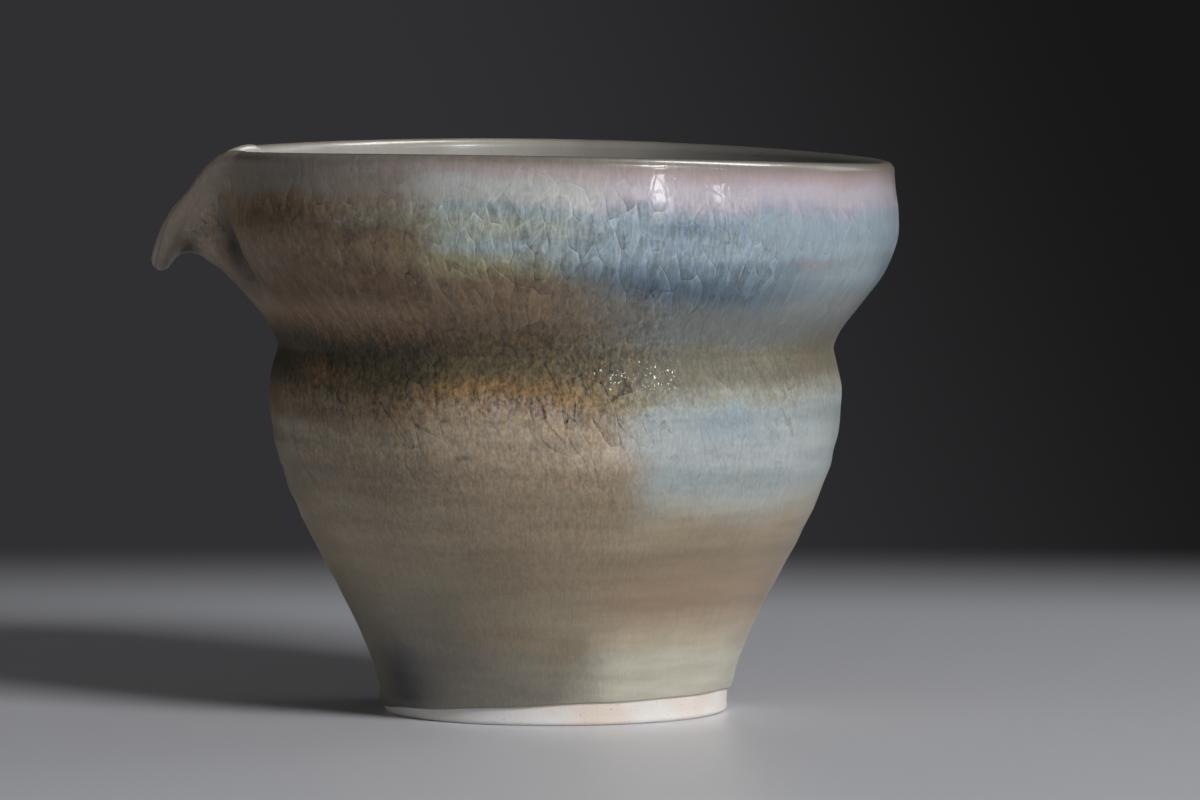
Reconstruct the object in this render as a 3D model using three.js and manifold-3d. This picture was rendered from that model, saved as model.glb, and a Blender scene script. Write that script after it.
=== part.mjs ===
// Tea pitcher with no handle: a wheel-thrown porcelain bowl with a wide collar, a drooping pouring lip
// luted into a notch in the collar, and a coat of glaze outside and inside. The foot is left bare.
// Millimetres, +Z up. The foot stands on Z = 0, the axis of throwing is upright, the lip points along -X.
import * as THREE from "three";
import { mergeVertices } from "three/addons/utils/BufferGeometryUtils.js";
import Module from "manifold-3d";

const wasm = await Module();
wasm.setup();

// Outside of the glazed bowl, from the foot up
const footRadius = 22.4; // bare foot, where it meets the table
const footHeight = 3.2; // bare band below the glaze
const footFlare = 0.2; // how much wider the foot is at the glaze than at the table
const footBevel = 0.6; // sponged corner at the table
const footRingWidth = 4.4; // flat that the pitcher stands on
const footRecess = 1.8; // depth of the turned hollow inside the foot ring
const bellyRadius = 37.4;
const bellyHeight = 41.6;
const neckRadius = 36.3; // the groove between the belly and the collar
const neckHeight = 47.6;
const collarRadius = 44.9;
const collarHeight = 64.5;
const rimRadius = 44.3;
const rimHeight = 72.5;
const rimLean = 0.0185; // the rim stands higher on the lip's side by this share of its radius
const rimSway = 1.05; // pulling the lip has drawn the rim up at its two sides by this much

// Walls
const rimWall = 2.4; // with both coats of glaze
const lipWall = 2.6; // the pouring lip at its end
const bellyWall = 3.4;
const footWall = 5.2;
const floorWall = 5.4; // clay under the middle of the bowl
const glazeCoat = 0.4; // each coat

// Pouring lip, along its middle and outside
const lipHalfAngle = 22; // degrees round the rim from the middle of the lip to where it starts
const throatHalfAngle = 16; // the same at the neck, where the throat has narrowed
const throatTopReach = 47.9; // from the axis to the hollow under the beak
const throatTopRise = 11.6; // from the neck up to that hollow
const lipReach = 50.5; // from the axis to the underside of the beak's end
const lipDroop = 1.8; // from the hollow down to the underside of the beak's end
const lipFall = 2.6; // the higher, the nearer to its middle the lip's edge starts to fall
const creaseSoftness = 0.1; // 0 gives a sharp crease where the lip leaves the collar

// Thumb dents beside the throat
const dentAngle = 17; // degrees from the middle of the lip
const dentSlant = 0.5; // degrees further from it for each millimetre down
const dentRise = 12.9; // from the neck up to their middle
const dentDepth = 2.1;
const dentHalfWidth = 4.4; // degrees
const dentHalfHeight = 4.8;

// The joint: a notch cut in the collar, with the lip luted into it on a layer of slip
const notchInset = 0.4; // from the crease beside the lip to the notch, at the rim
const notchRise = 5.6; // from the neck to the bottom of the notch
const notchTaper = 0.46; // half width of the notch's bottom, as a share of that at the rim
const slipLayer = 0.5;

// Facets
const lipColumns = 12; // round the lip
const bowlColumns = 36; // round the rest
const columnCrowding = 0.5; // closes up the columns beside the lip
const rowsPerSection = [6, 3, 7, 3]; // foot to belly, belly to neck, neck to collar, collar to rim
const innerRowsPerSection = [6, 3, 5, 4]; // the same inside, where the lowest give way to the floor
const capSteps = 3; // each quarter of the rounded rim
const floorSteps = 5;

const { degToRad, lerp, clamp } = THREE.MathUtils;
const point = (r, z) => new THREE.Vector2(r, z);
const bezier = (a, b, c, d) => new THREE.CubicBezierCurve(a, b, c, d);

// A section of the bowl's outside, as four curves in r and z. Each handle is a share of its curve's span.
function bowlOutline() {
  const foot = point(footRadius + footFlare + glazeCoat, footHeight);
  const belly = point(bellyRadius, bellyHeight);
  const neck = point(neckRadius, neckHeight);
  const collar = point(collarRadius, collarHeight);
  const rim = point(rimRadius, rimHeight - rimWall / 2);
  const share = (from, to, r, z) => point(lerp(from.x, to.x, r), lerp(from.y, to.y, z));
  return [
    bezier(foot, share(foot, belly, 0.26, 0.365), share(foot, belly, 1, 0.617), belly),
    bezier(belly, share(belly, neck, 0, 0.45), share(belly, neck, 0.75, 0.7), neck),
    bezier(neck, share(neck, collar, 0.088, 0.278), share(neck, collar, 1, 0.518), collar),
    bezier(collar, share(collar, rim, 0, 0.3), share(collar, rim, 1, 0.65), rim),
  ];
}

// The middle of the lip, outside: up the throat to the hollow, then over and down under the beak.
function lipOutline() {
  const neck = point(neckRadius, neckHeight);
  const hollow = point(throatTopReach, neckHeight + throatTopRise);
  const end = point(lipReach, hollow.y - lipDroop);
  const share = (from, to, r, z) => point(lerp(from.x, to.x, r), lerp(from.y, to.y, z));
  return [
    bezier(neck, share(neck, hollow, 0.08, 0.32), share(neck, hollow, 0.72, 0.98), hollow),
    bezier(hollow, share(hollow, end, 0.45, 0), share(hollow, end, 0.7, 0.4), end),
  ];
}

// A station runs up the wall, from 0 at the glaze line to 4 at the rim, by one for each curve of the bowl.
const bowl = bowlOutline();
const lip = lipOutline();
const rimStation = bowl.length;
const neckStation = rimStation - lip.length;

function onCurves(curves, station) {
  const which = clamp(Math.floor(station), 0, curves.length - 1);
  return curves[which].getPoint(station - which);
}

function lipSide(station) {
  const climbed = clamp((station - neckStation) / (rimStation - neckStation), 0, 1);
  return degToRad(lerp(throatHalfAngle, lipHalfAngle, climbed));
}

// How far the wall is pulled into the lip: 1 in its middle and 0 past its sides. It goes out faster than
// down, so the edge leaves the rim at a crease and then falls to the tip.
function pull(angle, station) {
  const share = Math.min(Math.abs(angle) / lipSide(station), 1);
  const near = Math.cos((Math.PI / 2) * share);
  const soft = (value) => Math.hypot(value, creaseSoftness) - creaseSoftness;
  return { out: soft(near) / soft(1), down: Math.max(near, 0) ** lipFall };
}

function dent(angle, height) {
  const rise = height - neckHeight - dentRise;
  const middle = dentAngle - dentSlant * rise;
  const across = (Math.abs(angle) - degToRad(middle)) / degToRad(dentHalfWidth);
  const along = rise / dentHalfHeight;
  return dentDepth * Math.exp(-across * across - along * along);
}

// The glazed outside at an angle from the middle of the lip, as r and z.
function outside(angle, station) {
  const p = onCurves(bowl, station);
  if (station > neckStation) {
    const q = onCurves(lip, station - neckStation);
    const { out, down } = pull(angle, station);
    p.set(lerp(p.x, q.x, out), lerp(p.y, q.y, down));
  }
  p.x -= dent(angle, p.y);
  return p;
}

// Directions in the section: up along the wall, and through it to the inside.
function wallFrame(angle, station) {
  const step = 0.02;
  const below = outside(angle, Math.max(station - step, 0));
  const above = outside(angle, Math.min(station + step, rimStation));
  const along = above.sub(below).normalize();
  const inward = point(-along.y, along.x);
  return { along, inward };
}

function wallThickness(angle, station) {
  if (station < 1) return lerp(footWall, bellyWall, station);
  const edge = lerp(rimWall, lipWall, pull(angle, station).down);
  return lerp(bellyWall, edge, (station - 1) / (rimStation - 1));
}

// A point of the wall, some millimetres in from the glazed outside.
function inWall(angle, station, depth) {
  return outside(angle, station).addScaledVector(wallFrame(angle, station).inward, depth);
}

// A point on the rounded rim. The turn goes from 0 outside to half a circle inside.
function onRim(angle, turn, coat) {
  const { along, inward } = wallFrame(angle, rimStation);
  const half = wallThickness(angle, rimStation) / 2;
  return outside(angle, rimStation)
    .addScaledVector(inward, half - (half - coat) * Math.cos(turn))
    .addScaledVector(along, (half - coat) * Math.sin(turn));
}

// The inside below the wall proper, from the wall's lowest inner row (0) to the middle of the floor (1).
const floorStation = 0.42;
function onFloor(angle, share, coat) {
  const edge = inWall(angle, floorStation, wallThickness(angle, floorStation) - coat);
  const middle = point(0, footRecess + floorWall + glazeCoat - coat);
  const drop = edge.y - middle.y;
  const knee = edge.clone().addScaledVector(wallFrame(angle, floorStation).along, -0.75 * drop);
  return bezier(edge, knee, point(0.62 * edge.x, middle.y), middle).getPoint(share);
}

// The angle of a column of facets. The side runs from -1 through 0, the middle of the lip, to 1, and some
// columns follow the creases beside the lip.
const lipShare = lipColumns / (lipColumns + bowlColumns);
function columnAngle(side, station) {
  const crease = lipSide(station);
  const share = Math.abs(side);
  if (share <= lipShare) return (side / lipShare) * crease;
  const past = (share - lipShare) / (1 - lipShare);
  const eased = past - (columnCrowding * Math.sin(Math.PI * past)) / Math.PI;
  return Math.sign(side) * lerp(crease, Math.PI, eased);
}

// A row of facet corners is a function of the side. It puts a section at its angle and bends the rim.
function row(station, section) {
  return (side) => {
    const angle = columnAngle(side, station);
    const { x: r, y: z } = section(angle);
    const [x, y] = [-r * Math.cos(angle), -r * Math.sin(angle)];
    const lean = -rimLean * x * (z / rimHeight) ** 2;
    const sway = rimSway * Math.sin(angle) ** 2 * (z / rimHeight) ** 4;
    return [x, y, z + lean + sway];
  };
}

const steps = (from, to, count) =>
  Array.from({ length: count + 1 }, (_, i) => lerp(from, to, i / count));
const stationsOf = (perSection) => [
  0,
  ...perSection.flatMap((count, section) => steps(section, section + 1, count).slice(1)),
];
const outerStations = stationsOf(rowsPerSection);
const innerStations = stationsOf(innerRowsPerSection).filter((s) => s > floorStation + 0.05);
const topTurn = Math.PI / 2; // the crest of the rim, where the two coats of glaze meet

const wallRow = (s, depth) => row(s, (a) => inWall(a, s, depth(a)));
const rimRow = (turn, coat) => row(rimStation, (a) => onRim(a, turn, coat));
const floorRow = (share, coat) => row(floorStation, (a) => onFloor(a, share, coat));
const innerRow = (s, coat) => wallRow(s, (a) => wallThickness(a, s) - coat);

const outerRows = (coat) => [
  ...outerStations.map((s) => wallRow(s, () => coat)),
  ...steps(0, topTurn, capSteps).slice(1).map((turn) => rimRow(turn, coat)),
];
const innerRows = (coat) => [
  ...steps(1, 0, floorSteps).map((share) => floorRow(share, coat)),
  ...innerStations.map((s) => innerRow(s, coat)),
  ...steps(Math.PI, topTurn, capSteps).slice(1).map((turn) => rimRow(turn, coat)),
];

function footRows() {
  const ringOuter = footRadius - footBevel;
  const ringInner = ringOuter - footRingWidth;
  const section = [
    point(0, footRecess),
    point(ringInner - footRecess, footRecess),
    point(ringInner, 0),
    point(ringOuter, 0),
    point(footRadius, footBevel),
  ];
  return [...section.map((p) => row(0, () => p)), wallRow(0, () => glazeCoat)];
}

// Carries rows round the axis. Facets on one side of the lip mirror those on the other, and both faces of
// a coat are split alike, so that they meet exactly.
const columns = lipColumns + bowlColumns;
const sides = steps(-1, 1, columns).slice(1);
function revolve(rows, outwards) {
  const grid = sides.map((side) => rows.map((at) => at(side)));
  const corners = [];
  grid.forEach((here, i) => {
    const next = grid[(i + 1) % columns];
    const beforeMiddle = sides[i] >= 0 && sides[i] < 1;
    for (let j = 0; j + 1 < rows.length; j++) {
      const [a, b, c, d] = [here[j], next[j], next[j + 1], here[j + 1]];
      const halves = beforeMiddle ? [[a, b, c], [a, c, d]] : [[a, b, d], [b, c, d]];
      for (const half of halves) corners.push(...(outwards ? half : half.reverse()).flat());
    }
  });
  return corners;
}

// Joins surfaces that share their edges into one closed geometry, without the slivers at the axis.
function closed(...surfaces) {
  const loose = new THREE.BufferGeometry();
  loose.setAttribute("position", new THREE.Float32BufferAttribute(surfaces.flat(), 3));
  const merged = mergeVertices(loose, 1e-3);
  const kept = [];
  const index = merged.index.array;
  for (let i = 0; i < index.length; i += 3) {
    const [a, b, c] = index.slice(i, i + 3);
    if (a !== b && b !== c && c !== a) kept.push(a, b, c);
  }
  return merged.setIndex(kept);
}

function toSolid(geometry) {
  const bare = new THREE.BufferGeometry();
  bare.setAttribute("position", geometry.getAttribute("position"));
  bare.setIndex(geometry.getIndex());
  const merged = mergeVertices(bare, 1e-3);
  return new wasm.Manifold(
    new wasm.Mesh({
      numProp: 3,
      vertProperties: merged.getAttribute("position").array,
      triVerts: new Uint32Array(merged.getIndex().array),
    }),
  );
}

function toGeometry(solid) {
  const mesh = solid.getMesh();
  const geometry = new THREE.BufferGeometry();
  geometry.setAttribute("position", new THREE.BufferAttribute(mesh.vertProperties, 3));
  geometry.setIndex(new THREE.BufferAttribute(mesh.triVerts, 1));
  return geometry;
}

// The clay of the whole pitcher, before the lip is told apart from the bowl.
function clayForm() {
  return closed(
    revolve([...footRows(), ...outerRows(glazeCoat).slice(1)], true),
    revolve(innerRows(glazeCoat), false),
  );
}

// A plug through the collar in the outline of the notch, grown by some millimetres.
function notchPlug(grow) {
  const top = rimHeight + rimSway + rimLean * rimRadius + lipWall;
  const wide = rimRadius * Math.sin(degToRad(lipHalfAngle)) - notchInset + grow;
  const narrow = notchTaper * wide;
  const bottom = neckHeight + notchRise - grow;
  const waist = lerp(bottom, rimHeight, 0.5);
  const outline = new THREE.Shape();
  outline.moveTo(-wide, top);
  outline.lineTo(-wide, rimHeight);
  outline.bezierCurveTo(-wide, waist, -narrow, bottom, 0, bottom);
  outline.bezierCurveTo(narrow, bottom, wide, waist, wide, rimHeight);
  outline.lineTo(wide, top);
  outline.closePath();
  const near = neckRadius / 2;
  const far = Math.max(lipReach, collarRadius) + 2 * lipWall;
  const plug = new THREE.ExtrudeGeometry(outline, {
    depth: far - near,
    bevelEnabled: false,
    curveSegments: 8,
  });
  // The outline's x becomes Y and its y becomes Z, and the plug runs out along -X.
  const turn = new THREE.Matrix4().makeBasis(
    new THREE.Vector3(0, 1, 0),
    new THREE.Vector3(0, 0, 1),
    new THREE.Vector3(1, 0, 0),
  );
  plug.applyMatrix4(turn.setPosition(-far, 0, 0));
  return toSolid(plug);
}

function outerGlaze() {
  return closed(
    revolve(outerRows(0), true),
    revolve(outerRows(glazeCoat), false),
    revolve([wallRow(0, () => glazeCoat), wallRow(0, () => 0)], true),
    revolve([rimRow(topTurn, glazeCoat), rimRow(topTurn, 0)], false),
  );
}

function innerGlaze() {
  return closed(
    revolve(innerRows(0), false),
    revolve(innerRows(glazeCoat), true),
    revolve([rimRow(topTurn, glazeCoat), rimRow(topTurn, 0)], true),
  );
}

const pitcher = new THREE.Group();
function add(name, geometry, color, roughness) {
  geometry.computeVertexNormals();
  const material = new THREE.MeshStandardMaterial({ color, roughness, metalness: 0 });
  const mesh = new THREE.Mesh(geometry, material);
  mesh.name = name;
  pitcher.add(mesh);
}

const clay = toSolid(clayForm());
const seat = notchPlug(slipLayer);
const plug = notchPlug(0);
add("thrown_bowl", toGeometry(clay.subtract(seat)), 0xe9e4da, 0.8);
add("pouring_lip", toGeometry(clay.intersect(plug)), 0xe9e4da, 0.8);
add("luting_slip", toGeometry(clay.intersect(seat.subtract(plug))), 0xddd6c8, 0.85);
add("outer_glaze", outerGlaze(), 0x9a8f7c, 0.25);
add("inner_glaze", innerGlaze(), 0xd9d2c4, 0.25);

// The origin is under the middle of the whole pitcher, lip and all, on the table.
const box = new THREE.Box3().setFromObject(pitcher);
pitcher.position.x = -(box.min.x + box.max.x) / 2;

export default pitcher;
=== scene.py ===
import math

import bpy
import numpy as np
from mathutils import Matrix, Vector


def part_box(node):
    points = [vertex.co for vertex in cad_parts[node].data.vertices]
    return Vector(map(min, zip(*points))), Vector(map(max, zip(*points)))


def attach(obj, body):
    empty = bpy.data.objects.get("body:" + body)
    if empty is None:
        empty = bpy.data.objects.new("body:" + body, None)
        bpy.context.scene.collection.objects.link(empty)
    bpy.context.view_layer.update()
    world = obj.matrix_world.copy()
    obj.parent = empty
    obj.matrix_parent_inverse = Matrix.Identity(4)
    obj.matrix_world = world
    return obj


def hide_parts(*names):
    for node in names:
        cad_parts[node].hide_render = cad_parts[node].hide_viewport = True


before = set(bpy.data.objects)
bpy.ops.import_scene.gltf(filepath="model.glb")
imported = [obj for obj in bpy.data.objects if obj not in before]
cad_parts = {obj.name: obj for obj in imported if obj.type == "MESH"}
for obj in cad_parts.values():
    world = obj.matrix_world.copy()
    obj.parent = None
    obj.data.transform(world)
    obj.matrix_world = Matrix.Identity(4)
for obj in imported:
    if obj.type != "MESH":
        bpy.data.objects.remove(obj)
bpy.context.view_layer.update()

mm = 0.001

# The thrown form, in millimetres from the axis of throwing and from the table
form = {
    "footRadius": 22.4,
    "footHeight": 3.2,
    "footFlare": 0.2,
    "footBevel": 0.6,
    "footRingWidth": 4.4,
    "footRecess": 1.8,
    "bellyRadius": 37.4,
    "bellyHeight": 41.6,
    "neckRadius": 36.3,
    "neckHeight": 47.6,
    "collarRadius": 44.9,
    "collarHeight": 64.5,
    "rimRadius": 44.3,
    "rimHeight": 72.5,
    "rimLean": 0.0185,
    "rimSway": 1.05,
    "rimWall": 2.4,
    "lipWall": 2.6,
    "bellyWall": 3.4,
    "footWall": 5.2,
    "floorWall": 5.4,
    "glazeCoat": 0.4,
    "floorStation": 0.42,  # where the inside leaves the wall and turns into the floor
}

# The pouring lip and the thumb dents beside it, in millimetres and degrees from the lip's middle
lipForm = {
    "halfAngle": 22,
    "throatHalfAngle": 16,
    "hollowReach": 47.9,
    "hollowRise": 11.6,
    "endReach": 50.5,
    "droop": 1.8,
    "fall": 2.6,
    "creaseSoftness": 0.1,
    "dentAngle": 17,
    "dentSlant": 0.5,
    "dentRise": 12.9,
    "dentDepth": 2.1,
    "dentHalfWidth": 4.4,
    "dentHalfHeight": 4.8,
}

# How finely the surfaces are drawn
fineness = {
    "lipColumns": 88,
    "bowlColumns": 264,
    "columnCrowding": 0.5,
    "outerRows": [66, 20, 54, 26],
    "hiddenRows": [22, 8, 22, 10],
    "innerRows": [40, 16, 42, 20],
    "capRows": 10,
    "floorRows": 30,
}

# Throwing marks and unevenness, in millimetres
throwingMarks = {
    "bellyDepth": 0.085,
    "bellyHeight": 33,
    "bellyReach": 11,
    "collarDepth": 0.045,
    "collarHeight": 60,
    "collarReach": 6,
    "pitch": 5.1,
    "secondPitch": 3.4,
    "wobble": 0.16,
    "floorSpiralDepth": 0.16,
    "floorSpiralPitch": 4.6,
}

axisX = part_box("outer_glaze")[1].x / mm - form["collarRadius"]


# A cubic curve between two points of the section, whose handles are shares of the span between them
def spanCurve(start, end, firstShare, secondShare):
    start = np.array(start, float)
    span = np.array(end, float) - start
    return [start, start + span * firstShare, start + span * secondShare, start + span]


# Outline of the plain bowl as r and z: cubic curves from the foot over belly, neck and collar to the rim
def bowlOutline():
    foot = (form["footRadius"] + form["footFlare"] + form["glazeCoat"], form["footHeight"])
    belly = (form["bellyRadius"], form["bellyHeight"])
    neck = (form["neckRadius"], form["neckHeight"])
    collar = (form["collarRadius"], form["collarHeight"])
    rim = (form["rimRadius"], form["rimHeight"] - form["rimWall"] / 2)
    return np.array([
        spanCurve(foot, belly, (0.26, 0.365), (1, 0.617)),
        spanCurve(belly, neck, (0, 0.45), (0.75, 0.7)),
        spanCurve(neck, collar, (0.088, 0.278), (1, 0.518)),
        spanCurve(collar, rim, (0, 0.3), (1, 0.65)),
    ])


# Outline of the lip's middle: up from the neck to the hollow under the lip, then out to its drooping end
def lipOutline():
    neck = (form["neckRadius"], form["neckHeight"])
    hollow = (lipForm["hollowReach"], form["neckHeight"] + lipForm["hollowRise"])
    end = (lipForm["endReach"], hollow[1] - lipForm["droop"])
    return np.array([
        spanCurve(neck, hollow, (0.08, 0.32), (0.72, 0.98)),
        spanCurve(hollow, end, (0.45, 0), (0.7, 0.4)),
    ])


bowlCurves = bowlOutline()
lipCurves = lipOutline()
rimStation = len(bowlCurves)
neckStation = rimStation - len(lipCurves)


# A point at the share t of a cubic curve: (1-t)^3 a + 3 (1-t)^2 t b + 3 (1-t) t^2 c + t^3 d
def cubic(t, a, b, c, d):
    return (1 - t) ** 3 * a + 3 * (1 - t) ** 2 * t * b + 3 * (1 - t) * t**2 * c + t**3 * d


# A point at a station of a chain of cubic curves: the whole part picks the curve, the rest the way along it
def onCurves(curves, station):
    which = np.clip(np.floor(station), 0, len(curves) - 1).astype(int)
    return cubic((station - which)[..., None], *np.moveaxis(curves[which], -2, 0))


# The lip's half angle grows evenly from the neck to the rim
def lipSide(station):
    climbed = np.clip((station - neckStation) / (rimStation - neckStation), 0, 1)
    throat = lipForm["throatHalfAngle"]
    return np.radians(throat + climbed * (lipForm["halfAngle"] - throat))


# How far the wall is pulled into the lip: a cosine over the lip's half angle, softened at its side for the
# pull outwards and raised to a power for the pull down
def pull(angle, station):
    near = np.cos(math.pi / 2 * np.minimum(np.abs(angle) / lipSide(station), 1))
    soft = lipForm["creaseSoftness"]
    out = (np.hypot(near, soft) - soft) / (math.hypot(1, soft) - soft)
    above = station > neckStation
    return out * above, np.maximum(near, 0) ** lipForm["fall"] * above


# A thumb dent: a bell curve across and along, whose middle slants away from the lip as it goes down
def dent(angle, height):
    rise = height - form["neckHeight"] - lipForm["dentRise"]
    middle = np.radians(lipForm["dentAngle"] - lipForm["dentSlant"] * rise)
    across = (np.abs(angle) - middle) / math.radians(lipForm["dentHalfWidth"])
    return lipForm["dentDepth"] * np.exp(-across**2 - (rise / lipForm["dentHalfHeight"]) ** 2)


# A hand-thrown wall is never quite round: two slow waves round the axis that turn with height
def wobble(angle, station):
    turned = 1.3 * np.clip(station, 0, rimStation)
    waves = np.sin(2 * angle + turned) + 0.6 * np.sin(3 * angle - 0.7 * turned + 1.1)
    return throwingMarks["wobble"] * (waves - 1.6) / 3.2


# The glazed outside as r and z: the bowl's outline, carried towards the lip's by the pull, less the dents.
# Below station 0 it runs straight down the foot.
def outside(angle, station):
    angle, station = np.broadcast_arrays(angle, station)
    point = onCurves(bowlCurves, np.maximum(station, 0))
    out, down = pull(angle, station)
    towards = onCurves(lipCurves, np.maximum(station - neckStation, 0)) - point
    point = point + towards * np.stack([out, down], -1)
    footSide = (form["footFlare"], form["footHeight"] - form["footBevel"])
    point = point + np.minimum(station, 0)[..., None] * footSide
    inwards = dent(angle, point[..., 1]) - wobble(angle, station)
    return point - np.stack([inwards, np.zeros_like(inwards)], -1)


# Unit vectors up along the wall and through it to the inside, from the difference of two near stations
def wallFrame(angle, station):
    step = 0.02
    above = outside(angle, np.minimum(station + step, rimStation))
    along = above - outside(angle, np.minimum(station, rimStation) - step)
    along = along / np.linalg.norm(along, axis=-1, keepdims=True)
    return along, np.stack([-along[..., 1], along[..., 0]], -1)


# Thickness of clay and glaze: evenly from the foot's to the belly's over the first curve, then evenly to the
# edge's, which the pull down changes from the rim's to the lip's
def wallThickness(angle, station):
    low = form["footWall"] + (form["bellyWall"] - form["footWall"]) * np.clip(station, 0, 1)
    edge = form["rimWall"] + (form["lipWall"] - form["rimWall"]) * pull(angle, station)[1]
    high = form["bellyWall"] + (edge - form["bellyWall"]) * (station - 1) / (rimStation - 1)
    return np.where(station < 1, low, high)


# A point in the wall: the outside moved inwards by a depth
def inWall(angle, station, depth):
    inward = wallFrame(angle, station)[1]
    return outside(angle, station) + inward * np.broadcast_to(depth, inward.shape[:-1])[..., None]


# The rounded rim: a half circle about the wall's middle, of half its thickness less the coat
def onRim(angle, turn, coat):
    station = np.full(np.broadcast_shapes(np.shape(angle), np.shape(turn)), float(rimStation))
    along, inward = wallFrame(angle, station)
    half = (wallThickness(angle, station) / 2)[..., None]
    turn = np.broadcast_to(turn, station.shape)[..., None]
    return (
        outside(angle, station)
        + inward * (half - (half - coat) * np.cos(turn))
        + along * (half - coat) * np.sin(turn)
    )


# The inside of the floor: a cubic curve from the wall's inside (share 0) to the axis (share 1)
def onFloor(angle, share, coat):
    angle, share = np.broadcast_arrays(angle, share)
    station = np.full(angle.shape, form["floorStation"])
    edge = inWall(angle, station, wallThickness(angle, station) - coat)
    middle = np.zeros_like(edge)
    middle[..., 1] = form["footRecess"] + form["floorWall"] + form["glazeCoat"] - coat
    drop = (edge - middle)[..., 1:]
    knee = edge - 0.75 * drop * wallFrame(angle, station)[0]
    flat = middle.copy()
    flat[..., 0] = 0.62 * edge[..., 0]
    return cubic(share[..., None], edge, knee, flat, middle)


# Angles of the columns: even over the lip, and closed up beside it by a sine over the rest
lipShare = fineness["lipColumns"] / (fineness["lipColumns"] + fineness["bowlColumns"])
columnCount = fineness["lipColumns"] + fineness["bowlColumns"]
sides = np.linspace(-1, 1, columnCount + 1)[1:]


def columnAngle(station):
    crease = lipSide(np.broadcast_to(station, np.broadcast_shapes(np.shape(station), sides.shape)))
    past = np.clip((np.abs(sides) - lipShare) / (1 - lipShare), 0, 1)
    eased = past - fineness["columnCrowding"] * np.sin(math.pi * past) / math.pi
    beyond = np.sign(sides) * (crease + (math.pi - crease) * eased)
    return np.where(np.abs(sides) <= lipShare, sides / lipShare * crease, beyond)


rimAngle = columnAngle(np.full((1, 1), float(rimStation)))
floorAngle = columnAngle(np.full((1, 1), form["floorStation"]))
footAngle = columnAngle(np.zeros((1, 1)))


# Puts a section at its angle, then leans the rim towards the lip and draws it up at its two sides
def place(section, angle):
    r, z = section[..., 0], section[..., 1]
    x, y = -r * np.cos(angle), -r * np.sin(angle)
    climbed = z / form["rimHeight"]
    lean = -form["rimLean"] * x * climbed**2
    sway = form["rimSway"] * np.sin(angle) ** 2 * climbed**4
    return np.stack([x + axisX, y, z + lean + sway], -1) * mm


# The glaze's own coordinates, for its patterns: the direction from the axis as a point on a plain drum, and
# the height that the plain bowl has at that station, so bands follow the rim down over the lip
drumRadius = 40


def onDrum(angle, height):
    angle, height = np.broadcast_arrays(angle, height)
    return np.stack([-drumRadius * np.cos(angle), -drumRadius * np.sin(angle), height], -1) * mm


def bowlHeight(station):
    footDrop = np.minimum(station, 0) * (form["footHeight"] - form["footBevel"])
    return onCurves(bowlCurves, np.maximum(station, 0))[..., 1] + footDrop


rimTop = bowlHeight(np.array(float(rimStation)))


# Even steps from start to end, as a column of rows
def evenRows(start, end, steps):
    return np.linspace(start, end, steps + 1)[:, None]


# A value repeated over all columns of as many rows as another column has
def spread(rows, value):
    return np.broadcast_to(value, (len(rows), columnCount))


# Sections stacked into one grid of points, and their places on the drum
def stacked(sections, angles, heights):
    points = [place(section, angle) for section, angle in zip(sections, angles)]
    patterns = [onDrum(angle, height) for angle, height in zip(angles, heights)]
    return np.concatenate(points), np.concatenate(patterns)


# Stations as a column: each section of the wall in even steps
def stationColumn(perSection):
    parts = [k + np.arange(count) / count for k, count in enumerate(perSection)]
    return np.concatenate([*parts, [len(perSection)]])[:, None]


# Faces of a grid: quads between neighbouring rows, round all columns. With loop, the last row joins the
# first. Otherwise the first and the last row are poles, which keep one point and take triangles.
def gridFaces(rowCount, loop):
    index = np.arange(rowCount * columnCount).reshape(rowCount, columnCount)
    if not loop:
        index[[0, -1]] = index[[0, -1], :1]
    upper = np.roll(index, -1, axis=0)
    quads = np.stack([index, np.roll(index, -1, axis=1), np.roll(upper, -1, axis=1), upper], -1)
    if loop:
        return quads.ravel(), np.full(rowCount * columnCount, 4)
    whole = quads[1:-2].reshape(-1, 4)
    corners = [whole.ravel(), quads[0][:, [0, 2, 3]].ravel(), quads[-2][:, [0, 1, 2]].ravel()]
    return np.concatenate(corners), np.repeat([4, 3], [len(whole), 2 * columnCount])


# A closed mesh from a grid of points. A grid with poles runs the other way, so its faces are turned round.
def gridPiece(name, points, patterns, loop=False):
    rowCount = len(points)
    corners, sizes = gridFaces(rowCount, loop)
    used = np.zeros(rowCount * columnCount, bool)
    used[corners] = True
    corners = (np.cumsum(used) - 1)[corners]
    mesh = bpy.data.meshes.new(name)
    mesh.vertices.add(int(used.sum()))
    mesh.vertices.foreach_set("co", points.reshape(-1, 3)[used].ravel())
    mesh.loops.add(len(corners))
    mesh.loops.foreach_set("vertex_index", corners)
    mesh.polygons.add(len(sizes))
    mesh.polygons.foreach_set("loop_start", np.cumsum(sizes) - sizes)
    mesh.update(calc_edges=True)
    if not loop:
        mesh.flip_normals()
    drum = mesh.attributes.new("drumPlace", "FLOAT_VECTOR", "POINT")
    drum.data.foreach_set("vector", patterns.reshape(-1, 3)[used].ravel())
    mesh.validate()
    mesh.polygons.foreach_set("use_smooth", np.ones(len(mesh.polygons), bool))
    piece = bpy.data.objects.new(name, mesh)
    bpy.context.scene.collection.objects.link(piece)
    return piece


# The line where the outer glaze ends above the foot: a tilted line, as it was dipped by hand
glazeLine = {
    "middle": 1.95,
    "tilt": 1.5,
    "highAngle": 140,
    "ripples": (0.07, 0.05),
    "roll": 0.16,
    "rollWidth": 0.9,
}
# Where glaze gathered in the two dents beside the lip: angle and height of the middle, reach and depth
dentPool = {"angle": 16.6, "height": 60.8, "angleReach": 3.0, "heightReach": 2.6, "depth": 0.38}


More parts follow.
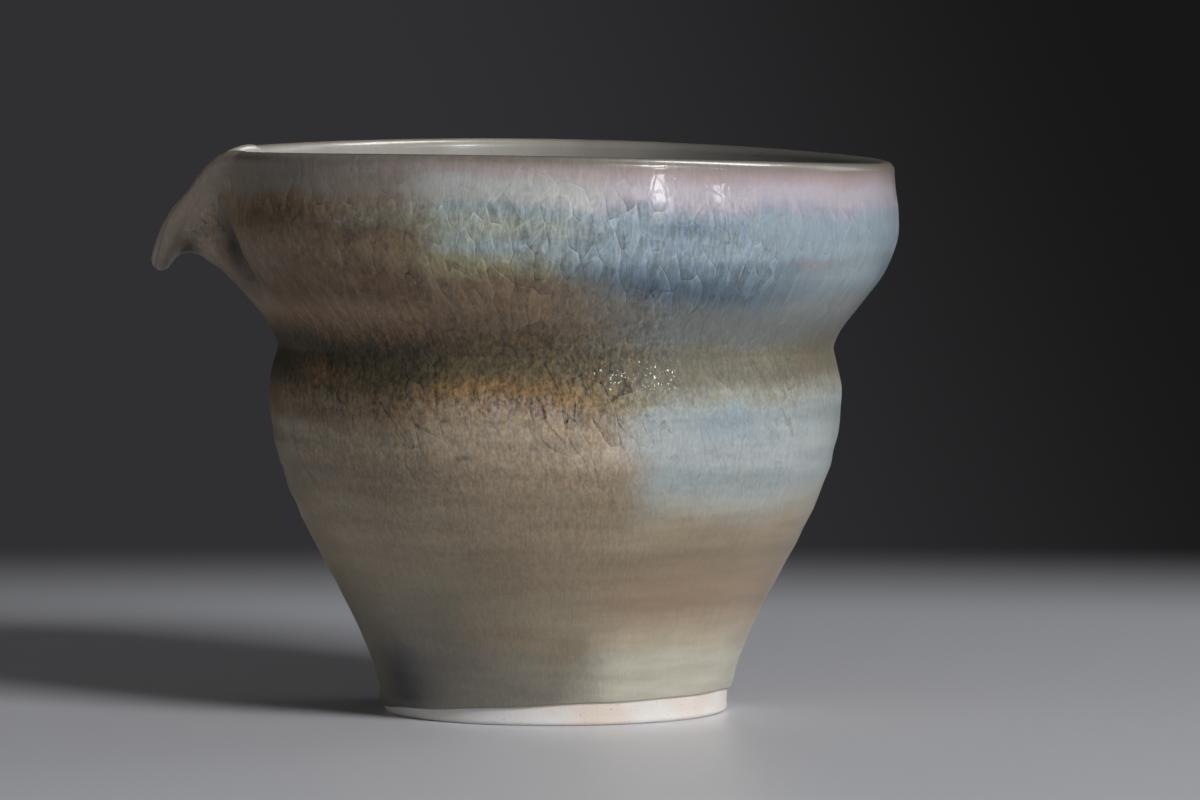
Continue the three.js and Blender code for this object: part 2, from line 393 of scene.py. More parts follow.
# Station of that line: one cosine round the foot and two small sines. Its height is counted from the top of
# the foot, by the foot's height below it and by the first curve's slope above it.
def lineStation(angle):
    height = glazeLine["middle"] + glazeLine["tilt"] * np.cos(angle - math.radians(glazeLine["highAngle"]))
    slow, fast = glazeLine["ripples"]
    height = height + slow * np.sin(5 * angle) + fast * np.sin(11 * angle + 2)
    gap = height - form["footHeight"]
    slope = 3 * (bowlCurves[0][1] - bowlCurves[0][0])[1]
    return np.where(gap < 0, gap / (form["footHeight"] - form["footBevel"]), gap / slope)


# Depth of the glaze's face below the plain outside: spiral throwing rings, one turn to a ring, which are
# strongest on the belly and die out at the rim, less a thick roll where the glaze stopped running and a
# pool in each dent, both bell curves
def outerRelief(angle, station, lowest):
    marks = throwingMarks
    height = bowlHeight(station)
    spiral = 2 * math.pi * height / marks["pitch"] + angle
    second = 2 * math.pi * height / marks["secondPitch"] + 2 * angle + 1.4
    rings = 0.62 * np.sin(spiral) + 0.38 * np.sin(second) * (0.7 + 0.3 * np.sin(angle + 0.6))
    onBelly = np.exp(-(((height - marks["bellyHeight"]) / marks["bellyReach"]) ** 2))
    onCollar = np.exp(-(((height - marks["collarHeight"]) / marks["collarReach"]) ** 2))
    depth = marks["bellyDepth"] * (0.25 + onBelly) + marks["collarDepth"] * onCollar
    fade = np.clip((rimStation - station) / 0.6, 0, 1)
    above = (height - bowlHeight(lowest)) / glazeLine["rollWidth"]
    roll = glazeLine["roll"] * np.exp(-((above - 1) ** 2))
    aside = (np.degrees(np.abs(angle)) - dentPool["angle"]) / dentPool["angleReach"]
    climb = (height - dentPool["height"]) / dentPool["heightReach"]
    pool = dentPool["depth"] * np.exp(-(aside**2) - climb**2)
    return (depth * rings + 0.6 * depth) * fade - roll - pool


# Outer glaze: up the outside, over to the crest, back down against the clay, and round the edge at the foot
def outerGlazeGrid():
    coat = form["glazeCoat"]
    up = stationColumn(fineness["outerRows"])
    lowest = lineStation(footAngle)
    reach = 0.3  # stations over which the rows bend to follow the slanting line

    def bent(station):
        return station + lowest * np.clip(1 - station / reach, 0, 1)

    stations = bent(up)
    angle = columnAngle(stations)
    outer = inWall(angle, stations, outerRelief(angle, stations, lowest))
    hidden = bent(stationColumn(fineness["hiddenRows"])[::-1])
    hiddenAngle = columnAngle(hidden)
    inner = inWall(hiddenAngle, hidden, coat)
    turns = evenRows(0, math.pi / 2, fineness["capRows"])
    upTurns, downTurns = turns[1:], turns[::-1][:-1]
    crest = onRim(rimAngle, upTurns, 0)
    crestInner = onRim(rimAngle, downTurns, coat)
    footTurns = evenRows(0, math.pi, 6)[1:-1]
    along, inward = wallFrame(angle[:1], stations[:1])
    bulge = outerRelief(angle[:1], stations[:1], lowest)[..., None] * (1 - np.cos(footTurns))[..., None] / 2
    middle = outside(angle[:1], stations[:1])
    footEdge = (
        middle
        + inward * (coat / 2 * (1 + np.cos(footTurns))[..., None] + bulge)
        - along * (coat / 2 * np.sin(footTurns))[..., None]
    )
    sections = [outer, crest, crestInner, inner, footEdge]
    angles = [
        angle,
        spread(upTurns, rimAngle),
        spread(downTurns, rimAngle),
        hiddenAngle,
        spread(footTurns, angle[:1]),
    ]
    heights = [
        bowlHeight(stations),
        rimTop + form["rimWall"] / 2 * upTurns,
        rimTop + form["rimWall"] / 2 * downTurns,
        bowlHeight(hidden),
        spread(footTurns, bowlHeight(stations[:1])),
    ]
    return stacked(sections, angles, heights)


# Inner glaze: from the middle of the floor up the inside to the crest, then back down against the clay
def innerGlazeGrid():
    coat = form["glazeCoat"]
    shares = evenRows(1, 0, fineness["floorRows"])
    up = stationColumn(fineness["innerRows"])
    up = up[up[:, 0] > form["floorStation"] + 0.01]
    angle = columnAngle(up)
    turns = evenRows(math.pi, math.pi / 2, fineness["capRows"])[1:]

    # the face at a depth in the wall, with a spiral in the floor that fades at the middle and at the wall
    def face(depth, spiral):
        floor = onFloor(floorAngle, shares, depth)
        ring = 2 * math.pi * floor[..., 0] / throwingMarks["floorSpiralPitch"] + floorAngle
        inside = np.clip(floor[..., 0] / 6, 0, 1) * np.clip(shares * 3, 0, 1)
        floor[..., 1] += spiral * inside * (np.sin(ring) - 1) / 2
        wall = inWall(angle, up, wallThickness(angle, up) - depth)
        return [floor, wall, onRim(rimAngle, turns, depth)]

    shown = face(0, throwingMarks["floorSpiralDepth"])
    hidden = [section[::-1] for section in face(coat, 0)[::-1]]
    angles = [spread(shares, floorAngle), angle, spread(turns, rimAngle)]
    heights = [
        spread(shares, 0.0),
        bowlHeight(up) + 0 * angle,
        rimTop + form["rimWall"] / 2 * (math.pi - turns) + 0 * rimAngle,
    ]
    angles += [rows[::-1] for rows in angles[::-1]]
    heights += [rows[::-1] for rows in heights[::-1]]
    return stacked(shown + hidden, angles, heights)


# Turned foot, in millimetres
turnedFoot = {
    "outerRound": 0.6,
    "innerRound": 0.5,
    "groovePitch": 2.2,
    "grooveDepth": 0.07,
    "nub": 0.5,
    "nubRadius": 2.2,
}


# Section of the foot from the axis outwards: a recess with turning grooves, one cosine wave to a groove,
# and a nub, then a slope, the flat ring that the pitcher stands on, and corners that are quarter circles
def footSection():
    ringOuter = form["footRadius"] - form["footBevel"]
    ringInner = ringOuter - form["footRingWidth"]
    recess = form["footRecess"]
    inner, outer = turnedFoot["innerRound"], turnedFoot["outerRound"]
    r = np.linspace(0, ringInner - recess, 40)
    grooves = turnedFoot["grooveDepth"] * (1 - np.cos(2 * math.pi * r / turnedFoot["groovePitch"])) / 2
    nub = turnedFoot["nub"] * np.exp(-((r / turnedFoot["nubRadius"]) ** 2))
    hollow = np.stack([r, recess + grooves - nub], -1)
    slope = np.linspace((ringInner - recess + 0.2, recess - 0.12), (ringInner - 0.35, 0.3), 6)
    turn = evenRows(math.pi / 8, math.pi / 2, 4)
    innerCorner = np.hstack([ringInner + 0.6 * inner * (1 - np.cos(turn)), inner * (1 - np.sin(turn))])
    flat = np.linspace((ringInner + 0.6, 0), (ringOuter - 0.1, 0), 6)
    turn = evenRows(0, math.pi / 2, 6)
    outerCorner = np.hstack([ringOuter + outer * np.sin(turn), outer * (1 - np.cos(turn))])
    return np.concatenate([hollow, slope, innerCorner, flat, outerCorner])


# Clay of the whole pitcher: foot, outside under the glaze, rim, inside, and floor
def clayGrid():
    coat = form["glazeCoat"]
    section = footSection()
    foot = np.broadcast_to(section[:, None, :], (len(section), columnCount, 2))
    sideStations = evenRows(-1, 0, 7)[1:-1]
    side = inWall(footAngle, sideStations + 0 * footAngle, coat)
    up = stationColumn(fineness["hiddenRows"])
    angle = columnAngle(up)
    outer = inWall(angle, up, coat)
    turns = evenRows(0, math.pi, 2 * fineness["capRows"])[1:]
    rim = onRim(rimAngle, turns, coat)
    down = up[::-1][1:]
    down = down[down[:, 0] > form["floorStation"] + 0.01]
    downAngle = columnAngle(down)
    inner = inWall(downAngle, down, wallThickness(downAngle, down) - coat)
    shares = evenRows(0, 1, fineness["floorRows"] // 2)
    floor = onFloor(floorAngle, shares, coat)
    sections = [foot, side, outer, rim, inner, floor]
    angles = [
        spread(section, footAngle),
        spread(sideStations, footAngle),
        angle,
        spread(turns, rimAngle),
        downAngle,
        spread(shares, floorAngle),
    ]
    return stacked(sections, angles, [0 * rows for rows in angles])


# The seat that the lip and its slip fill, in millimetres
seat = {"inset": 0.4, "rise": 5.6, "taper": 0.46, "slip": 0.5, "steps": 40}


# Cuts the seat out of the clay: the notch's outline in Y and Z from two cubic curves, run out along -X
def cutSeat(bowl):
    wide = form["rimRadius"] * math.sin(math.radians(lipForm["halfAngle"])) - seat["inset"] + seat["slip"]
    narrow = seat["taper"] * wide
    bottom = form["neckHeight"] + seat["rise"] - seat["slip"]
    waist = (bottom + form["rimHeight"]) / 2
    top = form["rimHeight"] + form["rimSway"] + form["rimLean"] * form["rimRadius"] + form["lipWall"]
    curve = np.array([[(-wide, form["rimHeight"]), (-wide, waist), (-narrow, bottom), (0, bottom)]])
    left = onCurves(curve, np.linspace(0, 1, seat["steps"] + 1))
    right = left[::-1][1:] * (-1, 1)
    outline = np.concatenate([[(-wide, top)], left, right, [(wide, top)]])
    count = len(outline)
    near = -form["neckRadius"] / 2 + axisX
    far = -max(lipForm["endReach"], form["collarRadius"]) - 2 * form["lipWall"] + axisX
    ends = [np.column_stack([np.full(count, x), outline]) for x in (far, near)]
    around = np.arange(count)
    following = (around + 1) % count
    walls = np.stack([around, following, following + count, around + count], -1)
    faces = [*walls.tolist(), around[::-1].tolist(), (around + count).tolist()]
    mesh = bpy.data.meshes.new("seatPlug")
    mesh.from_pydata((np.concatenate(ends) * mm).tolist(), [], faces)
    plug = bpy.data.objects.new("seatPlug", mesh)
    bpy.context.scene.collection.objects.link(plug)
    cut = bowl.modifiers.new("seat", "BOOLEAN")
    cut.operation = "DIFFERENCE"
    cut.solver = "EXACT"
    cut.object = plug
    evaluated = bowl.evaluated_get(bpy.context.evaluated_depsgraph_get())
    bowl.data = bpy.data.meshes.new_from_object(evaluated)
    bowl.modifiers.clear()
    bpy.data.objects.remove(plug)


outerPiece = gridPiece("glaze_outside", *outerGlazeGrid(), loop=True)
innerPiece = gridPiece("glaze_inside", *innerGlazeGrid())
bowlPiece = gridPiece("bowl_clay", *clayGrid())
cutSeat(bowlPiece)
for piece, node, slotName in (
    (outerPiece, "outer_glaze", "outer_glaze"),
    (innerPiece, "inner_glaze", "inner_glaze"),
    (bowlPiece, "thrown_bowl", "bare_clay"),
):
    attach(piece, "root")
    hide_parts(node)
    print(piece.name, "has", sum(len(p.vertices) - 2 for p in piece.data.polygons), "triangles")


# Seen colours, 0 to 255, made linear: ((c + 0.055) / 1.055) to the power 2.4
def paint(red, green, blue):
    seen = np.array([red, green, blue]) / 255
    linear = np.where(seen <= 0.04045, seen / 12.92, ((seen + 0.055) / 1.055) ** 2.4)
    return (*linear.tolist(), 1)


# A look's named colours, made linear
def painted(look):
    return {name: paint(*seen) for name, seen in look["colours"].items()}


# A node's output in a formula: each operator adds the node that works it out
class Term:
    def __init__(self, bench, socket):
        self.bench = bench
        self.socket = socket

    def __add__(self, other):
        return self.bench.math("ADD", self, other)

    def __sub__(self, other):
        return self.bench.math("SUBTRACT", self, other)

    def __rsub__(self, other):
        return self.bench.math("SUBTRACT", other, self)

    def __mul__(self, other):
        return self.bench.math("MULTIPLY", self, other)

    def __truediv__(self, other):
        return self.bench.math("DIVIDE", self, other)

    def __rtruediv__(self, other):
        return self.bench.math("DIVIDE", other, self)


# True for three numbers or a term that is a vector or a colour
def isVector(value):
    return isinstance(value, tuple) or isinstance(value, Term) and value.socket.type in ("VECTOR", "RGBA")


# Adds nodes to one tree, and links terms or sets values on their sockets
class NodeBench:
    def __init__(self, tree):
        self.tree = tree

    def fill(self, sockets, values):
        for key, value in values.items():
            if isinstance(value, Term):
                self.tree.links.new(value.socket, sockets[key])
            else:
                sockets[key].default_value = value

    def add(self, kind, values=None, **settings):
        node = self.tree.nodes.new(kind)
        for name, value in settings.items():
            setattr(node, name, value)
        self.fill(node.inputs, values or {})
        return node

    def term(self, kind, values=None, output=0, **settings):
        return Term(self, self.add(kind, values, **settings).outputs[output])

    def terms(self, kind, values=None, **settings):
        outputs = self.add(kind, values, **settings).outputs
        return {socket.name: Term(self, socket) for socket in outputs}

    def group(self, tree, values):
        return self.terms("ShaderNodeGroup", values, node_tree=tree)

    # One step of a formula. Where a value is a vector, each plain number stands for three of itself.
    def math(self, operation, *values):
        kind = "ShaderNodeMath"
        if any(isVector(value) for value in values):
            kind = "ShaderNodeVectorMath"
            values = [(value,) * 3 if isinstance(value, (int, float)) else value for value in values]
        output = 1 if operation in ("DOT_PRODUCT", "LENGTH") else 0
        return self.term(kind, dict(enumerate(values)), output, operation=operation)

    def axis(self, vector, name):
        return self.term("ShaderNodeSeparateXYZ", {0: vector}, name)

    def joined(self, x, y, z):
        return self.term("ShaderNodeCombineXYZ", {0: x, 1: y, 2: z})

    def noise(self, place, scale, detail=2, roughness=0.5, output="Fac"):
        values = {"Vector": place, "Scale": scale, "Detail": detail, "Roughness": roughness}
        return self.term("ShaderNodeTexNoise", values, output)

    def bump(self, strength, distance, height):
        values = {"Strength": strength, "Distance": distance, "Height": height}
        return self.term("ShaderNodeBump", values)

    # A value's run from low to high made into a smooth run from start to end
    def span(self, value, low, high, start=0, end=1):
        values = {"Value": value, "From Min": low, "From Max": high, "To Min": start, "To Max": end}
        return self.term("ShaderNodeMapRange", values, interpolation_type="SMOOTHSTEP")

    def mix(self, mask, below, above, blend="MIX"):
        values = {0: mask, 6: below, 7: above}
        return self.term("ShaderNodeMix", values, 2, data_type="RGBA", blend_type=blend)

    def ramp(self, value, stops):
        node = self.add("ShaderNodeValToRGB", {0: value})
        elements = node.color_ramp.elements
        while len(elements) < len(stops):
            elements.new(1)
        for element, (position, colour) in zip(elements, stops):
            element.position = position
            element.color = colour
        return Term(self, node.outputs[0])


# A node group with named sockets, the bench to fill it, its inputs as terms, and its output sockets
def newGroup(name, inputs, outputs):
    group = bpy.data.node_groups.new(name, "ShaderNodeTree")
    for socketName, kind, value in inputs:
        socket = group.interface.new_socket(socketName, in_out="INPUT", socket_type="NodeSocket" + kind)
        if kind == "Float":
            socket.default_value = value
    for socketName, kind in outputs:
        group.interface.new_socket(socketName, in_out="OUTPUT", socket_type="NodeSocket" + kind)
    bench = NodeBench(group)
    return bench, bench.terms("NodeGroupInput"), bench.add("NodeGroupOutput").inputs


# Crackle: the edges of stretched Voronoi cells whose place wanders with a noise and twists about Z with the
# height. Line is 1 on a crack and comes and goes with another noise. Tone is painted shading that tilts each
# cell its own way: the way from its middle, dotted with its random colour, plus a share of one random
# number.
# Shade is the tone plus, on the line, a bevel of painted light and shade between two limits: lighter where
# the way from the middle points right and up, as if lit from there, and darker on the other side. Sizes are
# in millimetres.
def makeCrackleGroup():
    bench, start, end = newGroup(
        "glazeCrackle",
        [("Place", "Vector", None), ("CellWidth", "Float", 1.7), ("CellHeight", "Float", 3.8),
         ("Twist", "Float", 0.002), ("Wander", "Float", 2.6), ("LineWidth", "Float", 0.085)],
        [("Line", "Float"), ("Tone", "Float"), ("Shade", "Float")],
    )
    inMm = start["Place"] * 1000
    angle = bench.axis(inMm, "Z") * start["Twist"]
    turned = bench.term("ShaderNodeVectorRotate", {"Vector": inMm, "Angle": angle}, rotation_type="Z_AXIS")
    drift = (bench.noise(turned, 0.16, 1, output="Color") - 0.5) * start["Wander"]
    inCells = (turned + drift) / bench.joined(start["CellWidth"], start["CellWidth"], start["CellHeight"])
    cells = {"Vector": inCells, "Scale": 1}
    edge = bench.term("ShaderNodeTexVoronoi", cells, "Distance", feature="DISTANCE_TO_EDGE")
    nearest = bench.terms("ShaderNodeTexVoronoi", cells, feature="F1")
    fromMiddle = inCells - nearest["Position"]
    random = nearest["Color"] - 0.5
    tone = bench.math("DOT_PRODUCT", fromMiddle, random) + bench.axis(random, "X") * 0.14
    fade = bench.span(bench.noise(turned, 0.45, 1), 0.34, 0.54, 0.35, 1)
    line = bench.span(edge, start["LineWidth"], 0) * fade
    # painted light and shade on the crack's rims: lighter towards the right, the front and up
    bevel = bench.math("DOT_PRODUCT", fromMiddle, (1.9, -0.8, 0.95)) + 0.04
    bevel = bench.math("MAXIMUM", bench.math("MINIMUM", bevel, 0.55), -0.4)
    bench.fill(end, {"Line": line, "Tone": tone, "Shade": tone + bevel * line})
    return bench.tree


# Soft patch: a bell curve round a direction from the axis and a height. The angle enters as 2 - 2 cos.
def makePatchGroup():
    bench, start, end = newGroup(
        "softPatch",
        [("Place", "Vector", None), ("Towards", "Vector", None), ("Height", "Float", 40.0),
         ("AngleReach", "Float", 0.5), ("HeightReach", "Float", 5.0)],
        [("Mask", "Float")],
    )
    flat = start["Place"] * (1000 / drumRadius, 1000 / drumRadius, 0)
    turned = (1 - bench.math("DOT_PRODUCT", flat, start["Towards"])) * 2
    turned = turned / bench.math("POWER", start["AngleReach"], 2)
    rise = (bench.axis(start["Place"], "Z") * 1000 - start["Height"]) / start["HeightReach"]
    far = turned + bench.math("POWER", rise, 2)
    bench.fill(end, {"Mask": bench.math("EXPONENT", far * -1)})
    return bench.tree


# Fine grain: a rough noise stretched along Z and a rounder one, each through a smooth step, so that no
# speck stands out. Tone runs about 0, and Height is for a bump.
def makeGrainGroup():
    bench, start, end = newGroup(
        "fineGrain",
        [("Place", "Vector", None), ("Size", "Float", 0.5), ("Stretch", "Float", 2.5)],
        [("Tone", "Float"), ("Height", "Float")],
    )
    inMm = start["Place"] * 1000
    perCell = 1 / start["Size"]
    stretched = inMm * bench.joined(perCell, perCell, perCell / start["Stretch"])
    upright = bench.span(bench.noise(stretched, 1, 1, 0.8), 0.34, 0.72, -0.7, 1)
    rounder = bench.span(bench.noise(inMm * perCell, 1.3, 1, 0.8), 0.34, 0.72, -0.7, 1)
    tone = upright * 0.6 + rounder * 0.4
    bench.fill(end, {"Tone": tone, "Height": tone * 0.25})
    return bench.tree


crackleGroup = makeCrackleGroup()
patchGroup = makePatchGroup()
grainGroup = makeGrainGroup()


# Direction from the axis at an angle in degrees: 0 to the lip, 90 to the front, 180 away from the lip
def towards(angle):
    turned = math.radians(angle)
    return (-math.cos(turned), -math.sin(turned), 0)


# Mask of one soft patch, with its angle in degrees and its height in millimetres
def patchMask(bench, place, angle, height, angleReach, heightReach):
    return bench.group(patchGroup, {
        "Place": place, "Towards": towards(angle), "Height": height,
        "AngleReach": angleReach, "HeightReach": heightReach,
    })["Mask"]


def newMaterial(name):
    material = bpy.data.materials.new(name)
    material.use_nodes = True
    material.node_tree.nodes.clear()
    bench = NodeBench(material.node_tree)
    shader = bench.add("ShaderNodeBsdfPrincipled")
    bench.add("ShaderNodeOutputMaterial", {"Surface": Term(bench, shader.outputs[0])})
    return material, bench, shader


# Outer glaze. Bands are colours by height in millimetres up the plain bowl. The warm glaze has a left, a
# front and a right run of bands. The blue one was poured over the collar on the right, and turns pale
# towards its end. Reaches are in radians from the middle angle of the blue side, which is in degrees. The
# sparks' patch is given as outerPatches gives its own. A pair named From holds the heights where something
# starts and where it is whole, one named To where it has ended and where it is still whole, and belowRim
# where the grain and the cracks start to fade and where they are faint.
outerGlaze = {
    "leftBands": {
        4: "slateGrey", 7.8: "ashGrey", 10.6: "stone", 13.2: "stone", 18: "drySand", 21: "paleSand",
        28: "paleSand", 31.2: "clayBrown", 33.7: "clayBrown", 36.5: "paleSand", 38.7: "sand", 41: "tan",
        43.4: "darkOlive", 45.5: "moss", 49: "moss", 51: "chestnut", 53.4: "russet", 55.5: "chestnut",
        58.5: "chestnut", 61: "tan", 62.6: "tan", 64.6: "umber", 66.2: "tan", 68.4: "dove", 71: "dove",
        71.8: "warmGrey",
    },
    "frontBands": {
        4: "slateGrey", 7.8: "stone", 11: "clayBrown", 14: "drySand", 18.5: "clayBrown", 21: "clay",
        26: "sand", 28.7: "clay", 31.2: "sand", 33.7: "rosySand", 36.2: "shell", 39: "shell",
        41.2: "rosySand", 43.3: "rust", 45.6: "olive", 48.3: "olive", 50.4: "umber", 52.8: "tan",
        54.6: "tan", 56.4: "tan", 58: "khaki", 61: "khaki", 66: "khaki", 69.3: "warmGrey",
        71.8: "warmGrey",
    },
    "rightBands": {
        3: "celadon", 8.5: "celadon", 10.8: "cream", 13.4: "shell", 15.6: "honey", 18.5: "honey",
        22: "clay", 25.5: "paleSand", 28.5: "haze", 31: "fog", 33.7: "fog", 36: "ice", 38.6: "fog",
        41.2: "fog", 43.4: "paleOlive", 45.4: "greyOlive", 48.6: "greyOlive", 50.6: "steel",
        52.8: "steel", 71.8: "warmGrey",
    },
    "blueBands": {
        50: "steel", 54: "steel", 56.4: "navy", 57.8: "navy", 59.4: "slate", 61: "blueGrey",
        65.4: "blueGrey", 66.6: "mauve", 67.8: "lilac", 69.2: "lilac", 70.6: "rosewood", 71.8: "warmGrey",
    },
    "paleBands": {
        50: "khaki", 57.6: "khaki", 59.8: "sage", 61: "mist", 62.6: "sage", 64.6: "sage", 65.8: "mist",
        67.2: "silver", 69.3: "silver", 70.8: "pearl", 71.8: "warmGrey",
    },
    "colours": {
        "footShadeGrey": (58, 58, 64), "chestnut": (110, 87, 63), "russet": (134, 108, 82),
        "slateGrey": (122, 117, 106), "ashGrey": (124, 118, 108), "stone": (130, 123, 108),
        "drySand": (142, 132, 111), "sand": (142, 127, 105), "paleSand": (151, 137, 115),
        "shell": (164, 148, 127), "rosySand": (152, 135, 114), "clayBrown": (138, 124, 103),
        "clay": (134, 120, 99), "honey": (146, 126, 104), "rust": (122, 99, 68), "umber": (106, 90, 70),
        "tan": (124, 105, 82), "khaki": (136, 128, 100), "olive": (86, 76, 56), "moss": (68, 61, 46),
        "darkOlive": (80, 71, 54), "warmGrey": (120, 114, 105), "paleOlive": (146, 146, 136),
        "cream": (172, 161, 140), "celadon": (180, 176, 160), "ice": (167, 173, 173),
        "fog": (152, 160, 160), "haze": (154, 152, 142), "dove": (136, 128, 117),
        "greyOlive": (116, 112, 98), "steel": (114, 118, 115), "slate": (109, 125, 136),
        "navy": (93, 109, 120), "blueGrey": (137, 151, 160), "mist": (149, 162, 165),
        "mauve": (156, 154, 166), "lilac": (170, 163, 171), "rosewood": (159, 142, 142),
        "sage": (152, 158, 150), "silver": (177, 178, 176), "pearl": (171, 164, 160),
        "amber": (146, 114, 78), "rose": (148, 128, 122), "olivine": (138, 138, 106),
        "deepBlue": (76, 92, 106), "poolAndShadeBrown": (30, 27, 20), "bark": (98, 70, 38),
    },
    "bandTop": 75,
    "middleAngle": 145,
    "leftToFront": (1.54, 1.16),
    "frontToRight": (0.98, 0.6),
    "blueReach": (1.52, 1.06),
    "paleReach": (1.05, 0.72),
    "blueEdge": {"lowest": 49.4, "risePerRadian": 9.2, "width": 3.2},
    "collarCracks": {"CellWidth": 3.4, "CellHeight": 11.5, "Twist": -0.009, "LineWidth": 0.045},
    "bellyCracks": {"CellWidth": 2.4, "CellHeight": 7.0, "Twist": 0.011, "LineWidth": 0.08},
    "bandWander": 4.5,
    "cellLift": 1.2,
    "waistFrom": (39, 43),
    "waistTo": (53, 49),
    "collarFrom": (47, 55),
    "belowRim": (65.5, 68.5),
    "crackDepth": 0.52,
    "fleckDepth": 0.32,
    "hairDepth": 0.14,
    "warmthDepth": 0.5,
    "sparks": (106.86, 46.3, 0.19, 2.3),
    "sparkLean": 0.65,
    "roughness": 0.35,
    "waistRoughness": 0.35,
    "coat": 0.45,
    "coatRoughness": 0.045,
}

# Patches on the outer glaze: colour, angle and height of the middle, reach in radians and in millimetres,
# and strength
outerPatches = [
    ("amber", 80, 43.0, 0.4, 1.2, 0.3),
    ("amber", 100, 42.0, 0.12, 1.0, 0.45),
    ("rose", 84, 41.2, 0.14, 0.9, 0.5),
    ("olivine", 104, 42.8, 0.12, 1.2, 0.4),
    ("slate", 111, 65.0, 0.16, 1.4, 0.95),
    ("mist", 152, 57.5, 0.36, 3.4, 0.75),
    ("ice", 112, 37.0, 0.16, 1.8, 0.6),
    ("moss", 109, 47.8, 0.3, 1.6, 0.3),
    ("olive", 112, 44.2, 0.16, 1.6, 0.35),
    # painted shade and painted dark reflection low on the left, at the edge of the foot
    ("footShadeGrey", 34, 5.0, 0.22, 5.0, 0.9),
    ("slate", 126, 59.6, 0.28, 1.2, 0.6),
    ("blueGrey", 128, 39.2, 0.16, 2.4, 0.6),
    ("rose", 139, 59.6, 0.1, 0.6, 0.5),
    ("rosewood", 82, 70.8, 0.7, 0.9, 0.45),
    ("deepBlue", 118, 56.0, 0.28, 1.7, 0.75),
    ("shell", 9, 67, 0.22, 7.5, 0.8),
    # glaze pooled in the near dent and under the lip, darkened further by painted shade in these hollows
    ("poolAndShadeBrown", 16, 61.2, 0.07, 5.0, 0.95),
    ("poolAndShadeBrown", 3, 64.8, 0.07, 2.6, 0.85),
    ("rust", 90, 42.6, 0.1, 1.0, 0.4),
    ("sage", 58, 65.4, 0.12, 1.4, 0.4),
    ("sand", 66, 14.4, 0.25, 2.0, 0.35),
    ("bark", 40, 56.0, 0.24, 2.2, 0.75),
    ("amber", 36, 45.0, 0.16, 1.6, 0.45),
    ("paleSand", 38, 42.2, 0.18, 1.4, 0.4),
    # painted shade on the right edge of the waist, under the collar
    ("olive", 160, 46.5, 0.34, 4.5, 0.55),
    ("olivine", 76, 60.0, 0.22, 1.0, 0.3),
]


# Colour of the bands at a level, by the turn from the blue side's middle: left runs into front and front
# into right. The blue glaze covers them above a slanting line, level minus turn times its rise. Also
# returned is how much of it does.
def bandedColour(bench, level, height, turn):
    look = outerGlaze
    top = look["bandTop"]
    colours = painted(look)
    left, front, right, blue, pale = (
        bench.ramp(level / top, [(h / top, colours[c]) for h, c in look[bands].items()])
        for bands in ("leftBands", "frontBands", "rightBands", "blueBands", "paleBands")
    )
    colour = bench.mix(bench.span(turn, *look["leftToFront"]), left, front)
    inward = bench.span(height, 41, 34, 0, 0.16) * bench.span(height, 22, 29)
    colour = bench.mix(bench.span(turn + inward, *look["frontToRight"]), colour, right)
    blue = bench.mix(bench.span(turn, *look["paleReach"]), pale, blue)
    edge = look["blueEdge"]
    aboveEdge = level - edge["lowest"] - turn * edge["risePerRadian"]
    poured = bench.span(aboveEdge, -edge["width"] / 2, edge["width"] / 2)
    poured = poured * bench.span(turn, *look["blueReach"])
    return bench.mix(poured, colour, blue), poured


# Shade of the cracks, about 0: a small crackle all over, long leaning cells over the collar, and others
# that lean the other way from the waist down
def crackedTone(bench, drum, height, small):
    collar = bench.group(crackleGroup, {"Place": drum, **outerGlaze["collarCracks"]})
    belly = bench.group(crackleGroup, {"Place": drum, **outerGlaze["bellyCracks"]})
    onBelly = belly["Shade"] - belly["Tone"] * 0.5 - belly["Line"] * 0.3
    rise = outerGlaze["collarFrom"]
    return (
        small["Shade"] * bench.span(height, *rise, 0.5, 1.35)
        + (collar["Shade"] + collar["Line"] * 0.4) * bench.span(height, *rise, 0, 0.5)
        + onBelly * bench.span(height, 34, 41, 1, 1.8) * bench.span(height, 50, 46)
    )


